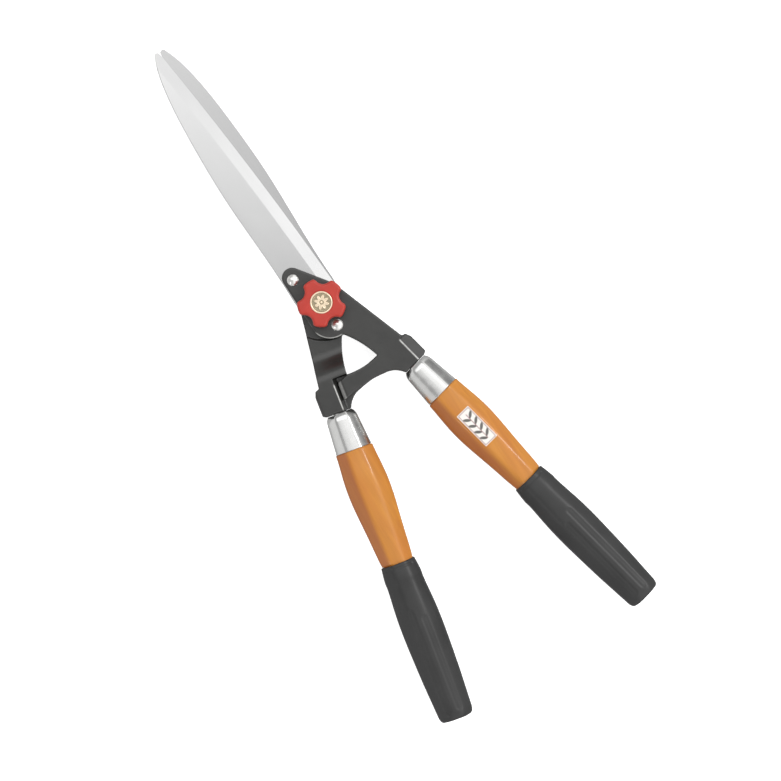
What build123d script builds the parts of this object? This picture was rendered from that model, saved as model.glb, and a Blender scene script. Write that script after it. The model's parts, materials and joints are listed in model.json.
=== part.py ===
from build123d import *
import os
from math import cos, hypot, radians, sin

os.makedirs("parts", exist_ok=True)

# Hedge shears with forged arms, ferruled wooden handles and rubber grips.
# Millimetres. The shears lie flat and closed: +Z is up, +Y points to the blade tips and +X to
# the side of the upper half's handle. The origin is on the pivot axis, at the resting plane.
# The lower half is the upper half turned over about the Y direction. Every function below
# works with heights measured from the plane where the two blades meet.

# Stack through the pivot, heights from the meeting plane of the blades
meeting_height = 15.0
half_gap = 0.05
blade_thickness = 3.0
plate_thickness = 4.5
blade_top = half_gap + blade_thickness
arm_top = blade_top + plate_thickness
washer_thickness = 1.5
washer_gap = 0.05
bush_flange = 1.2
spring_washer_thickness = 0.8
spring_washer_cone = 0.6
flange_top = arm_top + bush_flange
spring_base = flange_top + washer_gap
spring_top = spring_base + spring_washer_thickness + spring_washer_cone
thrust_base = spring_top + washer_gap
thrust_top = thrust_base + washer_thickness
knob_seat = thrust_top + washer_gap

# Pivot
running_clearance = 0.05
bolt_radius = 5.0
bolt_hole_clearance = 0.3
thread_radius = 4.0
thread_chamfer = 0.8
square_neck = 10.0
bush_radius = 7.0
bush_flange_radius = 10.0
washer_radius = 11.5
bolt_washer_radius = 12.0
bolt_head_flats = 17.0
bolt_crown_share = 0.96
bolt_crown_slope = 12.0
nut_flats = 13.0
nut_height = 6.0
thread_end_inset = 0.3
bolt_end = knob_seat + nut_height - thread_end_inset

# Blade: slightly curved cutting edge, swelling spine, blunt round tip
edge_start = (16.6, 9.0)
edge_end = (-0.35, 231.1)
edge_radius = 3000.0
edge_land = 0.5
bevel_width = 8.6
bevel_heel = edge_start[1] - 3.0
tip = (-2.4, 232.6)
spine_points = [
    (-5.1, 230.6), (-8.2, 222.5), (-13.4, 200.0), (-17.6, 158.0), (-19.4, 105.0), (-18.0, 58.0),
    (-17.8, 12.0),
]
blade_base_centre = (0.4, -10.0)
blade_base_radius = 16.4
spine_chamfer = 0.6
blade_hole_clearance = 0.1

# Rivets that hold each blade to its arm
rivet_places = [(-9.2, 27.0), (0.9, -20.5)]
rivet_radius = 2.5
rivet_head_radius = 4.65
rivet_head_height = 2.0
rivet_countersink_radius = 4.0

# Forged arm
arm_end_centre = (-8.7, 28.9)
arm_end_radius = 8.0
arm_left = arm_end_centre[0] - arm_end_radius
arm_corner_round = 1.2
arm_edge_round = 0.9
blade_pocket_radius = 28.6

# Handle axis: starts at the top of the ferrule and leans outwards
handle_tilt = 11.9
handle_start = (34.5, -78.0)
lean = radians(handle_tilt)
handle_frame = Plane(
    origin=(handle_start[0], handle_start[1], 0),
    x_dir=(cos(lean), sin(lean), 0),
    z_dir=(sin(lean), -cos(lean), 0),
)

# Bolster block at the root of each handle, measured along and across the handle axis
block_depth = 10.0
block_outer = 13.4
block_top = -21.5
ramp_start = -48.0
ramp_end = -25.8
ramp_inner = -24.0
block_end = 0.5
block_face_edge = 4.6
block_slope_drop = 5.5
stop_offset = 6.6
stop_face_height = 3.5
stop_gap = 0.1
groove_offset = 3.8
horn_slope_start = -29.0
horn_slope_width = 3.6
horn_end_height = 5.8
horn_foot = -7.0
block_corner_cut = 1.5
slope_run = 30.0

# Tang, driven into the wooden handle
tang_length = 82.0
tang_root = (9.0, 7.5)
tang_tip = (5.0, 4.0)
tang_clearance = 0.05

# Ferrule, handle and grip along the handle axis: (distance from the ferrule's top, width)
facet_share = 0.207
thickness_share = 0.88
grip_thickness_share = 0.9
ferrule_wall = 1.3
ferrule_start = 0.6
ferrule_mouth_clearance = 0.4
ferrule_mouth_depth = 6.0
tang_bore_spare = 2.0
ferrule_end = 31.0
ferrule_shoulder = 6.0
ferrule_shoulder_sections = [(ferrule_start, 19.6), (3.0, 23.0), (ferrule_shoulder, 24.8)]
ferrule_taper_sections = [(ferrule_shoulder, 24.8), (ferrule_end, 29.0)]
neck_shoulder_sections = [(ferrule_start + ferrule_wall, 17.4), (3.8, 20.6), (ferrule_shoulder, 22.2)]
neck_taper_sections = [(ferrule_shoulder, 22.2), (ferrule_end, 26.4)]
wood_sections = [
    (ferrule_end, 30.0), (49.0, 32.8), (66.0, 34.0), (85.0, 31.7), (104.0, 28.6), (125.0, 25.0),
]
grip_start = 125.0
grip_end = 253.5
grip_sections = [
    (grip_start, 27.4), (140.0, 29.9), (162.0, 32.4), (182.0, 33.2), (204.0, 32.2), (228.0, 30.2),
    (246.0, 28.2), (250.5, 27.2), (252.6, 25.2), (grip_end, 22.0),
]
tenon_end = 246.0
tenon_widths = (21.0, 18.0)

# Paper label on the front facet of the upper half's handle
label_length = 32.0
label_width = 12.0
label_centre = 68.0
label_thickness = 0.15

# Knob
knob_lobes = 5
knob_tip_radius = 18.8
knob_valley_radius = 14.2
valley_scoop_radius = 7.0
lobe_round = 2.6
knob_bottom = 10.0
knob_top = 21.3
knob_recess_radius = 12.5
medallion_radius = 8.7
medallion_recess = 1.6
medallion_crown = 0.5
medallion_rim = 1.6
knob_edge_round = 2.0
nut_pocket_spare = 1.0
washer_hole_clearance = 0.4
cone_hole_clearance = 0.6


def upper(shape):
    return Pos(0, 0, meeting_height) * shape


def lower(shape):
    return Pos(0, 0, meeting_height) * shape.rotate(Axis.Y, 180)


def on_handle(shape):
    return handle_frame.location * shape


def handle_point(across, along):
    return handle_frame.from_local_coords((across, 0, along))


def disc(radius, bottom, top, centre=(0, 0)):
    return Pos(centre[0], centre[1], bottom) * extrude(Circle(radius), top - bottom)


def octagon(width, thickness, rounding):
    half_width = width / 2
    half_thickness = thickness / 2
    facet_x = facet_share * width
    facet_y = facet_share * thickness
    corners = [
        (facet_x, half_thickness), (half_width, facet_y), (half_width, -facet_y),
        (facet_x, -half_thickness), (-facet_x, -half_thickness), (-half_width, -facet_y),
        (-half_width, facet_y), (-facet_x, half_thickness),
    ]
    outline = Polygon(*corners, align=None)
    return fillet(outline.vertices(), rounding)


def faceted_loft(sections, share, rounding=0.12):
    faces = [Pos(0, 0, along) * octagon(width, width * share, width * rounding) for along, width in sections]
    return loft(faces)


# ---- Blade ----------------------------------------------------------------

def edge_centre():
    half_chord = hypot(edge_end[0] - edge_start[0], edge_end[1] - edge_start[1]) / 2
    rise = (edge_radius**2 - half_chord**2) ** 0.5
    across_x = -(edge_end[1] - edge_start[1]) / (2 * half_chord)
    across_y = (edge_end[0] - edge_start[0]) / (2 * half_chord)
    middle_x = (edge_start[0] + edge_end[0]) / 2
    middle_y = (edge_start[1] + edge_end[1]) / 2
    return middle_x + across_x * rise, middle_y + across_y * rise


def blade_outline():
    base_x, base_y = blade_base_centre
    left = (base_x - blade_base_radius, base_y)
    right = (base_x + blade_base_radius, base_y)
    bottom = (base_x, base_y - blade_base_radius)
    edge = RadiusArc(edge_start, edge_end, -edge_radius)
    tip_round = ThreePointArc(edge_end, tip, spine_points[0])
    spine = Spline(*spine_points)
    shoulder = Line(spine_points[-1], left)
    base = ThreePointArc(left, bottom, right)
    heel = Line(right, edge_start)
    return make_face([edge, tip_round, spine, shoulder, base, heel])


def bevel_tool():
    centre_x, centre_y = edge_centre()
    slope = (blade_thickness - edge_land) / bevel_width
    inner = edge_radius - bevel_width
    outer = edge_radius + edge_land
    triangle = make_face(Polyline(
        (inner, 0, blade_top), (outer, 0, blade_top), (outer, 0, blade_top - slope * (outer - inner)),
        close=True,
    ))
    ring = revolve(triangle, Axis.Z, 360)
    return Pos(centre_x, centre_y, 0) * ring


def blade(pivot_hole_radius):
    body = Pos(0, 0, half_gap) * extrude(blade_outline(), blade_thickness)
    spine_edge = body.faces().sort_by(Axis.Z)[-1].edges().sort_by(Axis.X)[0]
    body = chamfer(spine_edge, spine_chamfer)
    ground_length = Pos(0, bevel_heel, 0) * Box(
        4 * blade_base_radius, tip[1], 4 * blade_top, align=(Align.CENTER, Align.MIN, Align.CENTER)
    )
    body -= bevel_tool() & ground_length
    body -= disc(pivot_hole_radius, -half_gap, arm_top)
    for place in rivet_places:
        body -= rivet_shank(place)
    return body


# ---- Rivets ---------------------------------------------------------------

def rivet_shank(place):
    sink = rivet_countersink_radius - rivet_radius
    cone = Cone(
        rivet_countersink_radius, rivet_radius, sink, align=(Align.CENTER, Align.CENTER, Align.MIN)
    )
    shank = disc(rivet_radius, half_gap, arm_top)
    return Pos(place[0], place[1], 0) * (shank + Pos(0, 0, half_gap) * cone)


def rivet_head(place):
    dome_radius = (rivet_head_radius**2 + rivet_head_height**2) / (2 * rivet_head_height)
    dome = Pos(0, 0, arm_top + rivet_head_height - dome_radius) * Sphere(dome_radius)
    slab = disc(rivet_head_radius, arm_top, arm_top + rivet_head_height)
    return Pos(place[0], place[1], 0) * (slab & dome)


def rivets():
    return Compound([(rivet_shank(place) + rivet_head(place)).solid() for place in rivet_places])


# ---- Forged arm -----------------------------------------------------------

def arm_outline():
    end_x, end_y = arm_end_centre
    left = (arm_left, end_y)
    top_tangent = (-2.4, 33.9)
    shoulder_start = (13.5, 12.0)
    shoulder_end = (18.6, 1.6)
    block_step = (38.2, -54.4)
    block_corners = [
        handle_point(11.6, block_top), handle_point(block_outer, block_top + 4.5),
        handle_point(block_outer, block_end - block_corner_cut), handle_point(10.4, block_end),
        handle_point(-9.6, block_end),
    ]
    corners = [(point.X, point.Y) for point in block_corners]
    flare_end = (11.0, -71.7)
    stop_low = handle_point(-stop_offset - stop_gap, horn_foot)
    stop_high = handle_point(-stop_offset - stop_gap, block_top + 0.3)
    horn_low = (-stop_low.X, stop_low.Y)
    horn_high = (-stop_high.X, stop_high.Y)
    horn_shoulder = (-13.7, -56.6)
    horn_root = (14.0, -57.2)
    crotch = (0.6, -29.1)
    lobe_end = (arm_left, -17.0)
    edges = [
        ThreePointArc(left, (end_x, end_y + arm_end_radius), top_tangent),
        Line(top_tangent, shoulder_start),
        ThreePointArc(shoulder_start, (16.7, 6.9), shoulder_end),
        Polyline(shoulder_end, block_step, *corners),
        ThreePointArc(corners[-1], (19.3, -74.4), flare_end),
        ThreePointArc(flare_end, (-10.0, -70.4), horn_low),
        Polyline(horn_low, horn_high, horn_shoulder),
        ThreePointArc(horn_shoulder, (0.3, -58.4), horn_root),
        ThreePointArc(horn_root, (8.7, -42.5), crotch),
        ThreePointArc(crotch, (-9.9, -26.3), lobe_end),
        Line(lobe_end, left),
    ]
    outline = Sketch() + make_face(edges)
    return fillet(outline.vertices(), arm_corner_round)


def block_core():
    section = Polygon(
        (-stop_offset, half_gap), (-stop_offset, -stop_face_height), (-groove_offset, -block_depth),
        (block_outer - block_corner_cut, -block_depth), (block_outer, -block_depth + block_corner_cut),
        (block_outer, half_gap), align=None,
    )
    ramp_section = Polygon(
        (ramp_inner, half_gap), (ramp_inner, -block_depth), (block_outer - block_corner_cut, -block_depth),
        (block_outer, -block_depth + block_corner_cut), (block_outer, half_gap), align=None,
    )
    prism = Pos(0, 0, ramp_end) * extrude(section, block_end - ramp_end, dir=(0, 0, 1))
    prism += Pos(0, 0, ramp_start) * extrude(ramp_section, ramp_end - ramp_start, dir=(0, 0, 1))
    foot = (0, half_gap, ramp_start)
    crest = (0, -block_depth, ramp_end)
    side = make_face([
        Spline(foot, crest, tangents=[(0, 0, 1), (0, 0, 1)]),
        Polyline(
            crest, (0, -block_depth, block_end - block_corner_cut),
            (0, -block_depth + block_corner_cut, block_end), (0, half_gap, block_end), foot,
        ),
    ])
    profile = extrude(side, 2 * block_outer, dir=(1, 0, 0), both=True)
    return on_handle(prism & profile)


def outer_slope_tool():
    slope_width = block_outer - block_face_edge
    section = Polygon(
        (block_face_edge, arm_top), (block_face_edge + 2 * slope_width, arm_top),
        (block_face_edge + 2 * slope_width, arm_top - 2 * block_slope_drop), align=None,
    )
    return on_handle(Pos(0, 0, block_top + half_gap) * extrude(section, slope_run, dir=(0, 0, 1)))


def horn_slope_tool():
    section = Polygon(
        (-stop_offset - stop_gap - horn_slope_width, arm_top), (-stop_offset, arm_top),
        (-stop_offset, horn_end_height), (-stop_offset - stop_gap, horn_end_height), align=None,
    )
    run = on_handle(Pos(0, 0, horn_slope_start) * extrude(section, slope_run, dir=(0, 0, 1)))
    return mirror(run, Plane.YZ)


def tang():
    steps = [(block_end, tang_root), (tang_length, tang_tip)]
    spike = loft([Pos(0, 0, along) * Rectangle(*size) for along, size in steps])
    return on_handle(spike)


def arm(pivot_cut):
    outline = arm_outline()
    plate = Pos(0, 0, half_gap) * extrude(outline, arm_top - half_gap)
    plate = fillet(plate.faces().sort_by(Axis.Z)[-1].edges(), arm_edge_round)
    deep = Pos(0, 0, -block_depth) * extrude(outline, block_depth + half_gap)
    body = plate + (deep & block_core())
    pocket = disc(blade_pocket_radius, 0, blade_top)
    pocket += Box(*[3 * blade_pocket_radius] * 2, blade_top, align=(Align.CENTER, Align.MIN, Align.MIN))
    body -= pocket
    body -= outer_slope_tool()
    body -= horn_slope_tool()
    body += tang()
    body -= pivot_cut
    for place in rivet_places:
        body -= rivet_shank(place)
    return body


# ---- Handle pieces --------------------------------------------------------

def wood_neck():
    shoulder = faceted_loft(neck_shoulder_sections, thickness_share)
    return shoulder + faceted_loft(neck_taper_sections, thickness_share)


def ferrule():
    shell = faceted_loft(ferrule_shoulder_sections, thickness_share)
    shell += faceted_loft(ferrule_taper_sections, thickness_share)
    shell -= wood_neck()
    mouth = Rectangle(tang_root[0] + ferrule_mouth_clearance, tang_root[1] + ferrule_mouth_clearance)
    shell -= extrude(mouth, ferrule_mouth_depth)
    return on_handle(shell)


def handle():
    body = wood_neck() + faceted_loft(wood_sections, thickness_share)
    body += tenon()
    bore_steps = [(block_end, tang_root), (tang_length + tang_bore_spare, tang_tip)]
    grow = 2 * tang_clearance
    bore = loft([Pos(0, 0, along) * Rectangle(size[0] + grow, size[1] + grow) for along, size in bore_steps])
    return on_handle(body - bore)


def tenon():
    return faceted_loft([(grip_start, tenon_widths[0]), (tenon_end, tenon_widths[1])], thickness_share)


def grip():
    return on_handle(faceted_loft(grip_sections, grip_thickness_share) - tenon())


def handle_label():
    raised = [(along, width + 2 * label_thickness / thickness_share) for along, width in wood_sections]
    window = Pos(0, label_width, label_centre) * Box(label_width, 2 * label_width, label_length)
    paper = faceted_loft(raised, thickness_share) & window
    return on_handle(paper - faceted_loft(wood_sections, thickness_share))


# ---- Pivot ----------------------------------------------------------------

def square_hole():
    side = square_neck + 2 * running_clearance
    return extrude(Rectangle(side, side), arm_top)


def pivot_bolt():
    head_bottom = -meeting_height
    head_top = -arm_top - washer_thickness
    hexagon = RegularPolygon(bolt_head_flats / 2, 6, major_radius=False)
    crown_radius = bolt_crown_share * bolt_head_flats / 2
    crown = Cone(
        crown_radius, crown_radius + bolt_crown_slope, bolt_crown_slope,
        align=(Align.CENTER, Align.CENTER, Align.MIN),
    )
    head = Pos(0, 0, head_bottom) * (extrude(hexagon, head_top - head_bottom) & crown)
    washer_neck = disc(bolt_radius, head_top, -arm_top)
    neck = Pos(0, 0, -arm_top) * extrude(Rectangle(square_neck, square_neck), arm_top - blade_top)
    shank = disc(bolt_radius, -blade_top, flange_top)
    thread = disc(thread_radius, flange_top, bolt_end)
    thread = chamfer(thread.edges().sort_by(Axis.Z)[-1], thread_chamfer)
    return head + washer_neck + neck + shank + thread


def ring(outer, inner, bottom, top):
    return disc(outer, bottom, top) - disc(inner, bottom, top)


def bolt_head_washer():
    hole = bolt_radius + bolt_hole_clearance
    return ring(bolt_washer_radius, hole, -arm_top - washer_thickness, -arm_top)


def pivot_bush():
    sleeve = disc(bush_radius, half_gap, arm_top)
    flange = disc(bush_flange_radius, arm_top, flange_top)
    return sleeve + flange - disc(bolt_radius + running_clearance, 0, flange_top)


def spring_washer():
    inner = thread_radius + cone_hole_clearance
    profile = make_face(Polyline(
        (inner, 0, spring_base + spring_washer_cone), (washer_radius, 0, spring_base),
        (washer_radius, 0, spring_base + spring_washer_thickness), (inner, 0, spring_top), close=True,
    ))
    return revolve(profile, Axis.Z, 360)


def thrust_washer():
    return ring(washer_radius, thread_radius + washer_hole_clearance, thrust_base, thrust_top)


# ---- Knob -----------------------------------------------------------------

def star():
    outline = Circle(knob_tip_radius)
    for index in range(knob_lobes):
        angle = radians(90 + (index + 0.5) * 360 / knob_lobes)
        reach = knob_valley_radius + valley_scoop_radius
        outline -= Pos(reach * cos(angle), reach * sin(angle)) * Circle(valley_scoop_radius)
    return fillet(outline.vertices(), lobe_round)


def tension_knob():
    body = Pos(0, 0, knob_bottom) * extrude(star(), knob_top - knob_bottom)
    body = fillet(body.faces().sort_by(Axis.Z)[-1].edges(), knob_edge_round)
    body -= disc(knob_recess_radius, knob_bottom, knob_seat)
    body -= hexagon_blank()
    nut_top = knob_seat + nut_height
    body -= disc(thread_radius + washer_hole_clearance, knob_seat, nut_top + nut_pocket_spare)
    body -= disc(medallion_radius, knob_top - medallion_recess, knob_top)
    return body


def hexagon_blank():
    return Pos(0, 0, knob_seat) * extrude(RegularPolygon(nut_flats / 2, 6, major_radius=False), nut_height)


def knob_nut():
    return hexagon_blank() - disc(thread_radius + running_clearance, knob_seat, knob_seat + nut_height)


def knob_medallion():
    floor = knob_top - medallion_recess
    body = disc(medallion_radius, floor, knob_top + medallion_crown)
    dish = disc(medallion_radius - medallion_rim, knob_top, knob_top + medallion_crown)
    return body - dish


def write(name, shape):
    export_step(shape, f"parts/{name}.step")


def main():
    write("rear_blade", lower(blade(bolt_radius + blade_hole_clearance)))
    write("rear_arm", lower(arm(square_hole())))
    write("rear_rivets", lower(rivets()))
    write("left_ferrule", lower(ferrule()))
    write("left_handle", lower(handle()))
    write("left_grip", lower(grip()))
    write("pivot_bolt", upper(pivot_bolt()))
    write("bolt_head_washer", upper(bolt_head_washer()))
    write("spring_washer", upper(spring_washer()))
    write("front_blade", upper(blade(bush_radius)))
    write("front_arm", upper(arm(disc(bush_radius, 0, arm_top))))
    write("front_rivets", upper(rivets()))
    write("right_ferrule", upper(ferrule()))
    write("right_handle", upper(handle()))
    write("right_grip", upper(grip()))
    write("handle_label", upper(handle_label()))
    write("pivot_bush", upper(pivot_bush()))
    write("thrust_washer", upper(thrust_washer()))
    write("tension_knob", upper(tension_knob()))
    write("knob_nut", upper(knob_nut()))
    write("knob_medallion", upper(knob_medallion()))


main()
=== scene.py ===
"""Hedge shears lying closed on a plain white surface, seen square from above."""
import json
import math

import bpy
from mathutils import Matrix, Vector, noise
from mathutils.bvhtree import BVHTree


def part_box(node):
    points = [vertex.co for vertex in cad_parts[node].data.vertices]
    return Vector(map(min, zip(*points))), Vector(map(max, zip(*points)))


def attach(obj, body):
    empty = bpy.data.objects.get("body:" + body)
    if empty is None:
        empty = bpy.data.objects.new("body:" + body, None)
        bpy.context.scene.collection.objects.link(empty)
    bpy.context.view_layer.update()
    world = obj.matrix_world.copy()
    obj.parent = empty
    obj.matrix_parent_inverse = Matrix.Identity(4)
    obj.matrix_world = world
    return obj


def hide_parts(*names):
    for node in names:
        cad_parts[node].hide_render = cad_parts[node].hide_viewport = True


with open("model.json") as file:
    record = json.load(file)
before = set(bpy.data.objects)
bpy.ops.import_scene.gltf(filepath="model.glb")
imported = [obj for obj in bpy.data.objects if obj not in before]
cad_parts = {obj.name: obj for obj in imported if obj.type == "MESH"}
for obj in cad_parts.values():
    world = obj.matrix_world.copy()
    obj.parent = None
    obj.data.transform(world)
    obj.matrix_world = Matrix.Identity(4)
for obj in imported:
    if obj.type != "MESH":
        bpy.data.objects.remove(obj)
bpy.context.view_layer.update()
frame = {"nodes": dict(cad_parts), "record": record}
MM = 0.001

# ---- Places read from the frame ------------------------------------------------

BLADE_MIDDLE_HEIGHT = 1.55 * MM


def box_centre(node):
    low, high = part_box(node)
    return (low + high) / 2


# The middle of the pivot, at the height where the two blades meet, and the handles' lean
PIVOT = Vector((0, 0, box_centre("front_blade").z - BLADE_MIDDLE_HEIGHT))
TILT = math.atan2(
    box_centre("right_grip").x - box_centre("right_ferrule").x,
    box_centre("right_ferrule").y - box_centre("right_grip").y,
)


# ---- Node helpers ----------------------------------------------------------------

class Graph:
    """A material's node tree with short calls for the nodes used here."""

    def __init__(self, name):
        self.material = bpy.data.materials.new(name)
        self.material.use_nodes = True
        self.tree = self.material.node_tree
        self.tree.nodes.clear()
        self.shader = self.node("ShaderNodeBsdfPrincipled")
        output = self.node("ShaderNodeOutputMaterial")
        self.link(self.shader.outputs[0], output.inputs[0])
        self.coordinates = self.node("ShaderNodeTexCoord")

    def node(self, kind, **settings):
        made = self.tree.nodes.new(kind)
        for key, value in settings.items():
            setattr(made, key, value)
        return made

    def link(self, source, target):
        self.tree.links.new(source, target)

    def feed(self, target, value):
        if isinstance(value, bpy.types.NodeSocket):
            self.link(value, target)
        else:
            target.default_value = value

    def place(self, turn=0.0, scale=(1, 1, 1), offset=(0, 0, 0)):
        mapping = self.node("ShaderNodeMapping")
        self.link(self.coordinates.outputs["Object"], mapping.inputs["Vector"])
        mapping.inputs["Location"].default_value = offset
        mapping.inputs["Rotation"].default_value = (0, 0, turn)
        mapping.inputs["Scale"].default_value = scale
        return mapping.outputs[0]

    def noise(self, place, scale, detail=4.0, roughness=0.55, distortion=0.0):
        made = self.node("ShaderNodeTexNoise")
        self.link(place, made.inputs["Vector"])
        made.inputs["Scale"].default_value = scale
        made.inputs["Detail"].default_value = detail
        made.inputs["Roughness"].default_value = roughness
        made.inputs["Distortion"].default_value = distortion
        return made.outputs["Fac"]

    def ramp(self, value, *stops):
        made = self.node("ShaderNodeValToRGB")
        self.link(value, made.inputs[0])
        elements = made.color_ramp.elements
        while len(elements) < len(stops):
            elements.new(0.5)
        for element, (position, colour) in zip(elements, stops):
            element.position = position
            element.color = (*colour, 1)
        return made.outputs[0]

    def maths(self, operation, first, second=0.0, clamp=False):
        made = self.node("ShaderNodeMath", operation=operation, use_clamp=clamp)
        self.feed(made.inputs[0], first)
        self.feed(made.inputs[1], second)
        return made.outputs[0]

    def span(self, value, low, high, to_low, to_high):
        made = self.node("ShaderNodeMapRange")
        self.link(value, made.inputs[0])
        for socket, number in zip(list(made.inputs)[1:5], (low, high, to_low, to_high)):
            socket.default_value = number
        return made.outputs[0]

    def mix(self, factor, first, second, blend="MIX"):
        made = self.node("ShaderNodeMix", data_type="RGBA", blend_type=blend)
        self.feed(made.inputs[0], factor)
        for socket, value in ((made.inputs[6], first), (made.inputs[7], second)):
            self.feed(socket, value if isinstance(value, bpy.types.NodeSocket) else (*value, 1))
        return made.outputs[2]

    def bump(self, height, distance, strength=1.0, onto=None):
        made = self.node("ShaderNodeBump")
        self.link(height, made.inputs["Height"])
        made.inputs["Distance"].default_value = distance
        made.inputs["Strength"].default_value = strength
        if onto is not None:
            self.link(onto, made.inputs["Normal"])
        return made.outputs[0]

    def finish(self, **sockets):
        for name, value in sockets.items():
            socket = self.shader.inputs[name.replace("_", " ")]
            if name == "Base_Color" and not isinstance(value, bpy.types.NodeSocket):
                value = (*value, 1)
            self.feed(socket, value)
        return self.material


def grey(value):
    return (value, value, value, 1)


# ---- Materials -------------------------------------------------------------------

def blade_steel(name, lightness):
    """Ground steel with fine cross-ways grinding lines; lightness is how light its colour is, and a lower
    value paints shade.
    """
    g = Graph(name)
    grind = g.noise(g.place(scale=(1, 14, 1)), 260.0, 3.0)
    smear = g.noise(g.place(scale=(1, 0.35, 1)), 30.0, 3.0)
    roughness = g.maths("ADD", g.span(grind, 0.3, 0.7, 0.18, 0.23), g.span(smear, 0.3, 0.7, -0.02, 0.02))
    colour = g.mix(g.span(smear, 0.3, 0.7, 0.0, 1.0), [lightness * 0.955] * 3, [lightness] * 3)
    normal = g.bump(grind, 0.00001, 0.2)
    return g.finish(Base_Color=colour, Metallic=1.0, Roughness=roughness, Normal=normal)


def arm_paint():
    """Dark baked paint over a forging, turned to light bare metal in strips where the mesh's stored value
    says: painted highlights along chosen edges.
    """
    g = Graph("arm_paint")
    peel = g.noise(g.place(), 420.0, 2.0)
    broad = g.noise(g.place(), 45.0, 3.0)
    colour = g.mix(g.span(broad, 0.3, 0.7, 0.0, 1.0), (0.013, 0.013, 0.012), (0.020, 0.020, 0.018))
    roughness = g.span(broad, 0.3, 0.7, 0.32, 0.42)
    # The stored value marks painted highlights: light metal strips along the edges where light glints
    edge_highlight = g.node("ShaderNodeAttribute", attribute_name="edge_highlight").outputs["Fac"]
    highlight_strip = g.maths("MULTIPLY", edge_highlight, g.span(peel, 0.3, 0.7, 0.75, 1.0), clamp=True)
    colour = g.mix(highlight_strip, colour, (0.60, 0.60, 0.58))
    normal = g.bump(peel, 0.00004, 0.4, onto=g.bump(broad, 0.0003, 0.3))
    return g.finish(Base_Color=colour, Roughness=roughness, Normal=normal, Metallic=highlight_strip,
                    Coat_Weight=0.5, Coat_Roughness=0.18)


def bright_metal(name, colour, rough, scratch=0.00002):
    """Bare polished or plated metal with broad variation in colour and shine and a fine grain."""
    g = Graph(name)
    fine = g.noise(g.place(), 900.0, 3.0)
    broad = g.noise(g.place(), 160.0, 3.0)
    shade = g.mix(g.span(broad, 0.3, 0.7, 0.0, 1.0), [c * 0.9 for c in colour], colour)
    roughness = g.span(broad, 0.3, 0.7, rough - 0.04, rough + 0.05)
    return g.finish(Base_Color=shade, Metallic=1.0, Roughness=roughness, Normal=g.bump(fine, scratch, 0.5))


# Across the handle, where the painted shade on one flank begins and where it is full
SHADED_FLANK_START = -5.5 * MM
SHADED_FLANK_FULL = -9.0 * MM


def handle_wood(name, turn):
    """Varnished hardwood: quiet straight grain and one flank painted darker and redder as shade, under a
    clear glossy coat.
    """
    g = Graph(name)
    rings = g.noise(g.place(turn=turn, scale=(1, 0.05, 1)), 190.0, 4.0, 0.55, 0.3)
    pores = g.noise(g.place(turn=turn, scale=(1, 0.03, 1)), 1300.0, 3.0, 0.7)
    broad = g.noise(g.place(turn=turn, scale=(1, 0.25, 1)), 55.0, 2.0)
    base = g.ramp(
        rings, (0.30, (0.48, 0.175, 0.014)), (0.55, (0.55, 0.210, 0.018)), (0.75, (0.61, 0.245, 0.024)),
    )
    base = g.mix(g.span(broad, 0.40, 0.70, 0.0, 0.45), base, (0.47, 0.125, 0.016))
    base = g.mix(g.span(pores, 0.62, 0.78, 0.0, 0.25), base, (0.30, 0.08, 0.012))
    split = g.node("ShaderNodeSeparateXYZ")
    middle = Matrix.Rotation(-turn, 3, "Z") @ Vector((math.copysign(HANDLE_TOP.x, turn), HANDLE_TOP.y, 0))
    g.link(g.place(turn=-turn, offset=-middle), split.inputs[0])
    # Painted shade: one flank of the handle is darker and redder
    base = g.mix(g.span(split.outputs[0], SHADED_FLANK_START, SHADED_FLANK_FULL, 0.0, 0.6), base, (0.34, 0.075, 0.012))
    normal = g.bump(pores, 0.00002, 0.2)
    return g.finish(Base_Color=base, Roughness=0.5, Normal=normal, Coat_Weight=0.4, Coat_Roughness=0.14)


def grip_rubber():
    """Matt black rubber with a fine moulded grain."""
    g = Graph("grip_rubber")
    grain = g.noise(g.place(), 1500.0, 2.0)
    broad = g.noise(g.place(), 35.0, 3.0)
    colour = g.mix(g.span(broad, 0.3, 0.7, 0.0, 1.0), (0.018, 0.018, 0.018), (0.026, 0.026, 0.026))
    roughness = g.span(broad, 0.3, 0.7, 0.40, 0.50)
    return g.finish(Base_Color=colour, Roughness=roughness, Normal=g.bump(grain, 0.00005, 0.5))


def knob_plastic():
    """Red moulded plastic, satin, with slight flow marks."""
    g = Graph("knob_plastic")
    broad = g.noise(g.place(), 60.0, 3.0)
    fine = g.noise(g.place(), 700.0, 2.0)
    colour = g.mix(g.span(broad, 0.3, 0.7, 0.0, 1.0), (0.40, 0.020, 0.010), (0.48, 0.028, 0.014))
    normal = g.bump(fine, 0.00003, 0.4)
    return g.finish(Base_Color=colour, Roughness=0.42, Normal=normal, Coat_Weight=0.15, Coat_Roughness=0.2)


FIELD_HEIGHT = 1.1 * MM


def medallion_metal():
    """Pale gold with dark patina left in the low parts of the relief."""
    g = Graph("medallion_metal")
    fine = g.noise(g.place(), 900.0, 3.0)
    split = g.node("ShaderNodeSeparateXYZ")
    g.link(g.coordinates.outputs["Object"], split.inputs[0])
    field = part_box("knob_medallion")[0].z + FIELD_HEIGHT
    rise = g.span(split.outputs[2], field, field + 0.5 * MM, 0.0, 1.0)
    polish = g.maths("ADD", rise, g.span(fine, 0.3, 0.7, -0.1, 0.1))
    colour = g.ramp(polish, (0.10, (0.34, 0.29, 0.20)), (0.70, (0.70, 0.58, 0.42)), (1.0, (0.93, 0.77, 0.58)))
    return g.finish(Base_Color=colour, Metallic=1.0, Roughness=0.34, Normal=g.bump(fine, 0.00002, 0.5))


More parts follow.
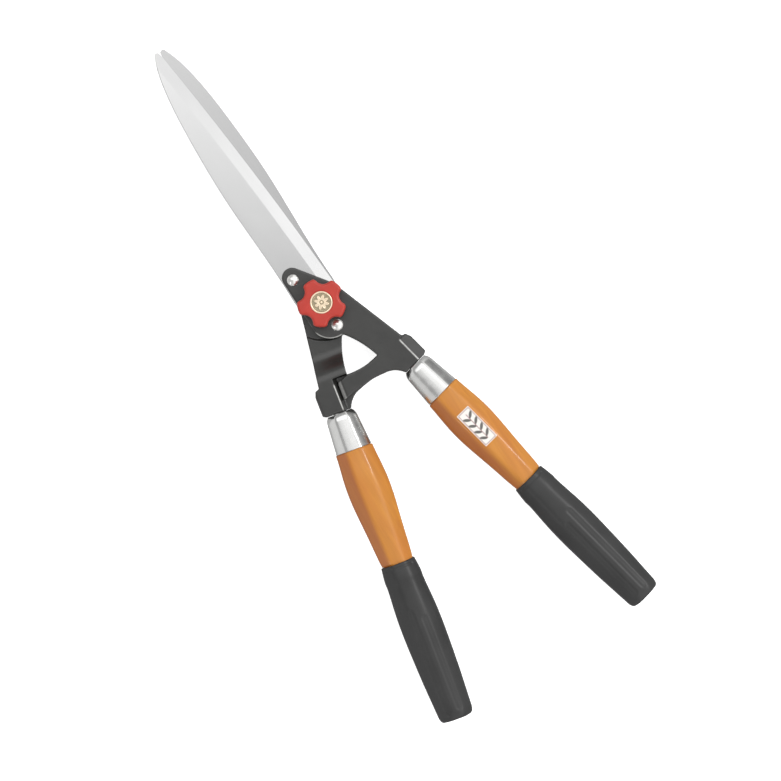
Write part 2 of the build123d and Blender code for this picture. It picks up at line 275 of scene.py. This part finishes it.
LABEL_HALF_SIZE = (6.0 * MM, 16.0 * MM)
LEAF_ROWS = 4
LEAF_PITCH = 6.2 * MM
LEAF_SIZE = (3.0 * MM, 1.15 * MM)
LEAF_LEAN = math.radians(42)
BORDER_INSET = 0.9 * MM
BORDER_WIDTH = 0.45 * MM
STEM_WIDTH = 0.5 * MM


def label_paper():
    """A white paper label printed with a thin border and a plain sprig of leaves, without lettering."""
    g = Graph("label_paper")
    centre = box_centre("handle_label")
    turn = Matrix.Rotation(-TILT, 3, "Z")
    local = g.place(turn=-TILT, offset=-(turn @ centre))
    split = g.node("ShaderNodeSeparateXYZ")
    g.link(local, split.inputs[0])
    across, along = split.outputs[0], split.outputs[1]

    def band(value, middle, width):
        return g.maths("LESS_THAN", g.maths("ABSOLUTE", g.maths("SUBTRACT", value, middle)), width / 2)

    def leaf(place, lean):
        oval = g.node("ShaderNodeMapping", vector_type="TEXTURE")
        g.link(local, oval.inputs["Vector"])
        oval.inputs["Location"].default_value = place
        oval.inputs["Rotation"].default_value = (0, 0, lean)
        oval.inputs["Scale"].default_value = (*LEAF_SIZE, 1.0)
        reach = g.node("ShaderNodeVectorMath", operation="LENGTH")
        g.link(oval.outputs[0], reach.inputs[0])
        return g.maths("LESS_THAN", reach.outputs["Value"], 1.0)

    leaves = 0.0
    for row in range(LEAF_ROWS):
        height = (row - (LEAF_ROWS - 1) / 2) * LEAF_PITCH
        for side in (-1, 1):
            spread = side * LEAF_SIZE[0] * 0.85
            leaves = g.maths("MAXIMUM", leaves, leaf((spread, height + side * 0.8 * MM, 0), side * LEAF_LEAN))
    half_width, half_length = (half - BORDER_INSET for half in LABEL_HALF_SIZE)
    side_lines = band(g.maths("ABSOLUTE", across), half_width, BORDER_WIDTH)
    end_lines = band(g.maths("ABSOLUTE", along), half_length, BORDER_WIDTH)
    sides = g.maths("MULTIPLY", side_lines, band(along, 0, 2 * half_length))
    ends = g.maths("MULTIPLY", end_lines, band(across, 0, 2 * half_width))
    stem = g.maths("MULTIPLY", band(across, 0, STEM_WIDTH), band(along, 0, LEAF_ROWS * LEAF_PITCH))
    fibre = g.noise(g.place(), 1200.0, 3.0)
    paper = g.mix(g.span(fibre, 0.3, 0.7, 0.0, 1.0), (0.80, 0.76, 0.71), (0.88, 0.85, 0.81))
    inked = g.mix(leaves, paper, (0.13, 0.12, 0.11))
    inked = g.mix(g.maths("MAXIMUM", stem, g.maths("MAXIMUM", sides, ends)), inked, (0.20, 0.035, 0.040))
    return g.finish(Base_Color=inked, Roughness=0.35, Normal=g.bump(fibre, 0.00001, 0.5))


# ---- Finished meshes -------------------------------------------------------------

BODY_OF = {node: body for body, nodes in frame["record"]["behaviour"]["bodies"].items() for node in nodes}
HANDLE_TOP = Vector((34.5, -78.0, 0)) * MM


def add_piece(name, mesh, material, node):
    """Puts a finished mesh in the scene in place of a CAD node, on that node's body."""
    mesh.materials.clear()
    mesh.materials.append(material)
    for polygon in mesh.polygons:
        polygon.use_smooth = True
    made = bpy.data.objects.new(name, mesh)
    bpy.context.scene.collection.objects.link(made)
    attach(made, BODY_OF[node])
    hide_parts(node)
    return made


def softened(node, voxel, smoothing):
    """A node's shape with its edges rounded, as an even mesh of small faces."""
    raw = bpy.data.objects.new("raw", frame["nodes"][node].data.copy())
    bpy.context.scene.collection.objects.link(raw)
    remesh = raw.modifiers.new("remesh", "REMESH")
    remesh.mode = "VOXEL"
    remesh.voxel_size = voxel
    smooth = raw.modifiers.new("smooth", "SMOOTH")
    smooth.factor = 0.5
    smooth.iterations = smoothing
    depsgraph = bpy.context.evaluated_depsgraph_get()
    mesh = bpy.data.meshes.new_from_object(raw.evaluated_get(depsgraph))
    bpy.data.objects.remove(raw)
    return mesh


def sink(mesh, depth):
    """Moves each point inwards along its normal by depth(point, normal)."""
    moves = [(vertex, vertex.normal * depth(vertex.co, vertex.normal)) for vertex in mesh.vertices]
    for vertex, move in moves:
        vertex.co -= move
    mesh.update()
    return mesh


def waves(point, size):
    """Smooth unevenness from 0 to 1, in lumps of about the given size."""
    return 0.5 + 0.5 * noise.noise(point / size)


def step(value, low, high):
    share = min(max((value - low) / (high - low), 0.0), 1.0)
    return share * share * (3 - 2 * share)


def along_handle(point, side):
    """How far a point is across and along a handle; side is 1 for the right one, -1 for the left."""
    x = side * point.x - HANDLE_TOP.x
    y = point.y - HANDLE_TOP.y
    return x * math.cos(TILT) + y * math.sin(TILT), x * math.sin(TILT) - y * math.cos(TILT)


# Marks pressed in a grip, measured along the handle and across it (outer side positive)
GRIP_MOUTH = 125.0 * MM
GRIP_END = 253.5 * MM
GROOVE_PLACE = GRIP_MOUTH + 3.2 * MM
GROOVE_HALF_WIDTH = 1.2 * MM
GROOVE_DEPTH = 0.4 * MM
FLUTES = ((-4.6 * MM, GRIP_MOUTH + 43 * MM), (4.6 * MM, GRIP_MOUTH + 36 * MM))
FLUTE_END = GRIP_END - 9 * MM
FLUTE_HALF_WIDTH = 3.4 * MM
FLUTE_DEPTH = 0.55 * MM


def grip_marks(across, along):
    """How deep a grip is pressed in: two shallow flutes on each broad face and a groove behind its mouth."""
    depth = GROOVE_DEPTH * step(abs(along - GROOVE_PLACE) / GROOVE_HALF_WIDTH, 1.0, 0.3)
    for place, start in FLUTES:
        lengthwise = max(start + FLUTE_HALF_WIDTH - along, along - FLUTE_END, 0.0)
        reach = math.hypot(lengthwise, across - place) / FLUTE_HALF_WIDTH
        depth += FLUTE_DEPTH * step(reach, 1.0, 0.35)
    return depth


def eight_sided(half_width, half_height, angle, sharpness, bow):
    """Radius at an angle of an eight-sided section.

    A low sharpness rounds the corners, and bow, a share of the radius, swells the facets."""
    facet = math.hypot(half_width, half_height)
    slanted = math.sqrt(2) * half_width * half_height / facet
    x, z = abs(math.cos(angle)), abs(math.sin(angle))
    reaches = (
        x / half_width, z / half_height, (x * half_height + z * half_width) / facet / slanted,
        abs(x * half_height - z * half_width) / facet / slanted,
    )
    nearest, second = sorted(reaches)[:1:-1]
    off_centre = (second / nearest) ** 8
    return sum(reach ** sharpness for reach in reaches) ** (-1 / sharpness) * (1 - bow * off_centre)


# Keeps a finished skin just inside its CAD part
SKIN_CLEARANCE = 0.01 * MM
OUTSIDE = 40 * MM


def faceted_body(node, side, stations, sharpness, bow, around=120, press=None, wave=0.0):
    """A closed eight-sided body along a handle, whose width and height follow the CAD node's own."""
    source = frame["nodes"][node].data
    places = [vertex.co for vertex in source.vertices]
    tree = BVHTree.FromPolygons(places, [tuple(polygon.vertices) for polygon in source.polygons])
    lengthwise = Vector((side * math.sin(TILT), -math.cos(TILT), 0))
    across = Vector((math.cos(TILT), side * math.sin(TILT), 0))
    top = Vector((side * HANDLE_TOP.x, HANDLE_TOP.y, PIVOT.z))

    def reach(point, direction):
        """Half the body's size; a ray that slips between two faces meets the far side at the same reach."""
        hit = tree.ray_cast(point + direction * OUTSIDE, -direction)
        return abs(OUTSIDE - hit[3])

    points = []
    for along in stations:
        centre = top + lengthwise * along
        near, far = reach(centre, -across), reach(centre, across)
        half_height = reach(centre, Vector((0, 0, 1)))
        half_width = (near + far) / 2
        centre += across * (far - near) / 2
        for index in range(around):
            angle = 2 * math.pi * index / around
            radius = eight_sided(half_width, half_height, angle, sharpness, bow)
            direction = across * math.cos(angle) + Vector((0, 0, math.sin(angle)))
            point = centre + direction * radius
            radius -= wave * waves(point, 11 * MM)
            if press and abs(math.sin(angle)) > 0.6:
                radius -= press(side * radius * math.cos(angle), along)
            radius -= SKIN_CLEARANCE
            points.append(centre + direction * radius)
    faces = []
    for ring in range(len(stations) - 1):
        for index in range(around):
            following = (index + 1) % around
            first, second = ring * around, (ring + 1) * around
            faces.append((first + index, first + following, second + following, second + index))
    faces.append(tuple(reversed(range(around))))
    faces.append(tuple((len(stations) - 1) * around + index for index in range(around)))
    if side < 0:
        faces = [tuple(reversed(face)) for face in faces]
    mesh = bpy.data.meshes.new(node)
    mesh.from_pydata(points, [], faces)
    mesh.update()
    return mesh


def stations_between(start, end, spacing, *steps):
    """Even stations from start to end in millimetres, with a close pair at each step in the shape."""
    count = math.ceil((end - start) / spacing)
    even = [start + (end - start) * index / count for index in range(count + 1)]
    pairs = [place + offset for place in steps for offset in (-0.02, 0.02)]
    return [place * MM for place in sorted(even + pairs)]


# Places of an arm's painted highlights, in millimetres from the pivot axis or across the handle's axis
LOBE_CENTRE = Vector((-0.55, -12.3)) * MM
LOBE_RADIUS = 16.5 * MM
BLOCK_CREST = 4.6 * MM
BLOCK_INNER = -3.8 * MM
HORN_END = -6.7 * MM
HORN_SLOPE = 3.6 * MM
EDGE_FADE = 0.9 * MM
EDGE_CORE = 0.2 * MM
# How strong the painted highlight is on each edge
HIGHLIGHT_ON_CREST = 0.7
HIGHLIGHT_ON_INNER = 0.9
HIGHLIGHT_ON_HORN = 0.6


def highlight_share(point):
    """How strongly the upper arm's paint is covered by a painted highlight strip, from 0 to 1, with heights
    from the blades' meeting plane.
    """
    across, along = along_handle(point, 1)
    horn_across, horn_along = along_handle(point, -1)
    from_lobe = abs((point.xy - LOBE_CENTRE).length - LOBE_RADIUS)
    lobe = step(from_lobe, 0.8 * MM, 0.3 * MM) * step(point.z, 6.2 * MM, 6.9 * MM)
    lobe *= step(point.x, 0.6 * MM, -1.0 * MM) * step(point.y, -15 * MM, -19 * MM)
    on_block = step(along, -22 * MM, -20 * MM) * step(along, 1 * MM, -1 * MM)
    crest = on_block * step(abs(across - BLOCK_CREST), EDGE_FADE, EDGE_CORE)
    crest *= step(point.z, 6.4 * MM, 7.0 * MM)
    inner = on_block * step(abs(across - BLOCK_INNER), EDGE_FADE, EDGE_CORE)
    inner *= step(point.z, -8.6 * MM, -9.3 * MM)
    horn = step(horn_across, HORN_END - HORN_SLOPE, HORN_END - 0.6 * HORN_SLOPE)
    horn *= step(point.z, 5.0 * MM, 5.6 * MM)
    horn *= step(horn_across, HORN_END + 0.4 * MM, HORN_END) * step(horn_along, 0, -3 * MM)
    horn *= step(horn_along, -34 * MM, -26 * MM)
    return max(lobe, HIGHLIGHT_ON_CREST * crest, HIGHLIGHT_ON_INNER * inner, HIGHLIGHT_ON_HORN * horn)


def with_edge_highlights(mesh, half):
    """Stores the painted highlights on an arm's points: on the lobe's edge, the block's edges and the horn's
    end.
    """
    values = mesh.attributes.new("edge_highlight", "FLOAT", "POINT").data
    for vertex, value in zip(mesh.vertices, values):
        point = vertex.co.copy()
        point.z -= PIVOT.z
        if half == "rear":
            point.x, point.z = -point.x, -point.z
        value.value = highlight_share(point) * (0.75 + 0.25 * waves(point, 2.5 * MM))
    return mesh


def forged(point, normal):
    """Shallow hammered unevenness all over."""
    return MM * (0.10 * waves(point, 7 * MM) + 0.04 * waves(point, 1.8 * MM))


def peened(point, normal):
    """Dents in the faces that the hammer met, none in the sides."""
    return 0.16 * MM * waves(point, 1.5 * MM) * step(abs(normal.z), 0.2, 0.7)


def medallion_mesh():
    """A round badge: rolled rim, ring of beads and a plain eight-petalled rosette, all invented."""
    low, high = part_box("knob_medallion")
    centre = (low + high) / 2
    radius = high.x - centre.x
    rings = 70
    spokes = 240
    rim_inner = 0.84
    bead_ring = 0.76
    bead_count = 30
    field = low.z + FIELD_HEIGHT

    def height(share, angle):
        if share > rim_inner:
            swell = math.sin(math.pi * min((share - rim_inner) / (1 - rim_inner), 1.0))
            return field + (high.z - field) * (0.35 + 0.65 * swell ** 0.5)
        beads = step(abs(share - bead_ring), 0.05, 0.0) * max(math.sin(bead_count * angle), 0.0)
        petal_reach = 0.42 + 0.30 * abs(math.cos(4 * angle))
        petals = step(share, petal_reach, petal_reach - 0.10) * step(share, 0.14, 0.24)
        vein = 1 - 0.5 * step(abs(math.sin(4 * angle)), 0.16, 0.0)
        boss = step(share, 0.16, 0.06)
        return field + (0.30 * beads + 0.45 * petals * vein + 0.55 * boss) * MM

    points = [Vector((centre.x, centre.y, height(0, 0)))]
    for ring in range(1, rings + 1):
        share = ring / rings
        for spoke in range(spokes):
            angle = 2 * math.pi * spoke / spokes
            reach = radius * share
            points.append(Vector((
                centre.x + reach * math.cos(angle), centre.y + reach * math.sin(angle), height(share, angle),
            )))
    faces = [(0, 1 + spoke, 1 + (spoke + 1) % spokes) for spoke in range(spokes)]

    def bridge(first, second):
        for spoke in range(spokes):
            following = (spoke + 1) % spokes
            faces.append((first + spoke, second + spoke, second + following, first + following))

    for ring in range(rings - 1):
        bridge(1 + ring * spokes, 1 + (ring + 1) * spokes)
    outer = 1 + (rings - 1) * spokes
    foot = len(points)
    points += [Vector((points[outer + spoke].x, points[outer + spoke].y, low.z)) for spoke in range(spokes)]
    bridge(outer, foot)
    faces.append(tuple(foot + spoke for spoke in reversed(range(spokes))))
    mesh = bpy.data.meshes.new("medallion")
    mesh.from_pydata(points, [], faces)
    mesh.update()
    return mesh


# ---- Putting the finish on every node --------------------------------------------

steel = blade_steel("blade_steel", 0.58)
# The rear blade's steel is a darker copy of the same steel: painted shade on its visible strip
shaded_blade_steel = blade_steel("blade_steel_painted_shade", 0.44)
paint = arm_paint()
rivet = bright_metal("rivet_steel", (0.80, 0.79, 0.77), 0.28)
aluminium = bright_metal("ferrule_aluminium", (0.62, 0.62, 0.61), 0.15, 0.000006)
zinc = bright_metal("zinc_steel", (0.66, 0.66, 0.64), 0.30)
brass = bright_metal("bush_brass", (0.75, 0.56, 0.28), 0.28)
rubber = grip_rubber()

dress = {"rear_blade": shaded_blade_steel, "front_blade": steel, "pivot_bush": brass, "handle_label": label_paper()}
for node in ("pivot_bolt", "bolt_head_washer", "spring_washer", "thrust_washer", "knob_nut"):
    dress[node] = zinc
for node, material in dress.items():
    target = frame["nodes"][node]
    target.data.materials.clear()
    target.data.materials.append(material)

for half in ("rear", "front"):
    # Each arm carries its painted highlight strips as a stored point value
    forging = with_edge_highlights(sink(softened(f"{half}_arm", 0.42 * MM, 5), forged), half)
    add_piece(f"{half}_forged_arm", forging, paint, f"{half}_arm")
    add_piece(f"{half}_peened_rivets", sink(softened(f"{half}_rivets", 0.24 * MM, 3), peened), rivet,
              f"{half}_rivets")

# Stations along the handles, in millimetres from their top
FERRULE_STATIONS = stations_between(0.65, 30.95, 0.4, 0.69)
WOOD_STATIONS = stations_between(2.0, 245.9, 1.0, 31.0, 125.0)
GRIP_STATIONS = stations_between(125.05, 248.0, 0.6) + stations_between(248.2, 253.45, 0.25)
for side, sign in (("left", -1), ("right", 1)):
    grip = faceted_body(f"{side}_grip", sign, GRIP_STATIONS, 16, 0.0, 180, grip_marks, 0.10 * MM)
    add_piece(f"{side}_fluted_grip", grip, rubber, f"{side}_grip")
    wood = faceted_body(f"{side}_handle", sign, WOOD_STATIONS, 30, 0.010, wave=0.05 * MM)
    add_piece(f"{side}_turned_wood", wood, handle_wood(f"{side}_wood", sign * TILT),
              f"{side}_handle")
    ferrule = faceted_body(f"{side}_ferrule", sign, FERRULE_STATIONS, 60, 0.022, 240)
    add_piece(f"{side}_polished_ferrule", ferrule, aluminium, f"{side}_ferrule")

add_piece("star_knob", softened("tension_knob", 0.32 * MM, 5), knob_plastic(), "tension_knob")
add_piece("rosette_medallion", medallion_mesh(), medallion_metal(), "knob_medallion")


# ---- Floor, light and camera ---------------------------------------------------

FLOOR_HALF_SIZE = 3.0
FLOOR_GLOW = 0.78
FLOOR_BOUNCE = 0.55


def floor():
    """A white light table: the surface glows where it is looked at, so shadows on it stay faint."""
    mesh = bpy.data.meshes.new("floor")
    corners = [(x * FLOOR_HALF_SIZE, y * FLOOR_HALF_SIZE, 0) for x, y in ((-1, -1), (1, -1), (1, 1), (-1, 1))]
    mesh.from_pydata(corners, [], [(0, 1, 2, 3)])
    made = bpy.data.objects.new("floor", mesh)
    bpy.context.scene.collection.objects.link(made)
    g = Graph("floor_white")
    material = g.finish(Base_Color=(0.80, 0.80, 0.80), Roughness=0.9)
    glow = g.node("ShaderNodeEmission")
    glow.inputs["Strength"].default_value = FLOOR_GLOW
    both = g.node("ShaderNodeAddShader")
    g.link(g.shader.outputs[0], both.inputs[0])
    g.link(glow.outputs[0], both.inputs[1])
    seen = g.node("ShaderNodeMixShader")
    g.link(g.node("ShaderNodeLightPath").outputs["Is Camera Ray"], seen.inputs[0])
    dim = g.node("ShaderNodeBsdfDiffuse")
    dim.inputs["Color"].default_value = grey(FLOOR_BOUNCE)
    g.link(dim.outputs[0], seen.inputs[1])
    g.link(both.outputs[0], seen.inputs[2])
    output = next(node for node in g.tree.nodes if node.type == "OUTPUT_MATERIAL")
    g.link(seen.outputs[0], output.inputs[0])
    mesh.materials.append(material)


VIEW_TURN = math.radians(33)
UP = Vector((math.sin(VIEW_TURN), math.cos(VIEW_TURN), 0))
RIGHT = Vector((math.cos(VIEW_TURN), -math.sin(VIEW_TURN), 0))
AIM = Vector((7.7 * MM, -85.4 * MM, PIVOT.z))
FRAME_WIDTH = 605.3 * MM
LENS = 100.0
SENSOR = 36.0


def camera():
    """Straight above the shears, turned so that they lie across the picture."""
    data = bpy.data.cameras.new("camera")
    data.lens = LENS
    data.sensor_width = SENSOR
    made = bpy.data.objects.new("camera", data)
    bpy.context.scene.collection.objects.link(made)
    made.location = AIM + Vector((0, 0, FRAME_WIDTH * LENS / SENSOR))
    made.rotation_euler = (0, 0, -VIEW_TURN)
    bpy.context.scene.camera = made


def soft_light(name, place, size, power):
    """A square lamp that faces the middle of the shears."""
    data = bpy.data.lights.new(name, "AREA")
    data.shape = "RECTANGLE"
    data.size = size
    data.size_y = size
    data.energy = power
    made = bpy.data.objects.new(name, data)
    bpy.context.scene.collection.objects.link(made)
    made.location = place
    made.rotation_euler = (AIM - place).to_track_quat("-Z", "Y").to_euler()


# Brightness of the studio's parts, and the middle of its soft box
CEILING_LEFT = 0.60
CEILING_RIGHT = 1.46
BOX_DIRECTION = (RIGHT * -0.14 + UP * 0.40 + Vector((0, 0, 0.90))).normalized()
BOX_LEVEL = 1.28
WALL_LEVEL = 0.24
LEFT_LEVEL = 0.45


def sky_gradient():
    """The studio around the table: a ceiling that brightens to the right, a soft box over the tips,
    a bright strip low on the left and a dark wall low on the right."""
    world = bpy.data.worlds.new("studio")
    bpy.context.scene.world = world
    world.use_nodes = True
    tree = world.node_tree
    background = tree.nodes["Background"]

    def node(kind, **settings):
        made = tree.nodes.new(kind)
        for key, value in settings.items():
            setattr(made, key, value)
        return made

    direction = node("ShaderNodeTexCoord").outputs["Generated"]

    def along(axis):
        made = node("ShaderNodeVectorMath", operation="DOT_PRODUCT")
        tree.links.new(direction, made.inputs[0])
        made.inputs[1].default_value = axis
        return made.outputs["Value"]

    def curve(value, *stops):
        made = node("ShaderNodeMapRange", interpolation_type="SMOOTHSTEP")
        tree.links.new(value, made.inputs[0])
        for socket, number in zip(list(made.inputs)[1:5], stops):
            socket.default_value = number
        return made.outputs[0]

    def combine(operation, first, second):
        made = node("ShaderNodeMath", operation=operation)
        tree.links.new(first, made.inputs[0])
        tree.links.new(second, made.inputs[1])
        return made.outputs[0]

    height = along((0, 0, 1))
    box = curve(along(BOX_DIRECTION), 0.922, 0.978, 0.0, BOX_LEVEL)
    ceiling = curve(along(RIGHT), -0.2, 0.45, CEILING_LEFT, CEILING_RIGHT)
    wall = combine("MULTIPLY", curve(along(RIGHT), 0.1, 0.55, 0.0, 1.0), curve(height, 0.45, 0.10, 0.0, 1.0))
    shade = curve(wall, 0.0, 1.0, 1.0, WALL_LEVEL)
    leftness = curve(along(RIGHT), -0.5, -0.85, 0.0, LEFT_LEVEL)
    strip = combine("MULTIPLY", leftness, curve(height, 0.5, 0.15, 0.0, 1.0))
    total = combine("MULTIPLY", combine("ADD", combine("ADD", ceiling, box), strip), shade)
    tree.links.new(total, background.inputs["Strength"])
    background.inputs["Color"].default_value = grey(1.0)


def lights():
    """The studio, and two small bright lamps at the sides that draw the thin highlights along edges."""
    sky_gradient()
    soft_light("key", AIM + RIGHT * 1.85 + UP * 1.15 + Vector((0, 0, 1.9)), 0.5, 18)
    soft_light("rim", AIM - RIGHT * 1.5 - UP * 1.6 + Vector((0, 0, 1.5)), 0.4, 4)


floor()
camera()
lights()
bpy.context.scene.view_settings.view_transform = "Standard"
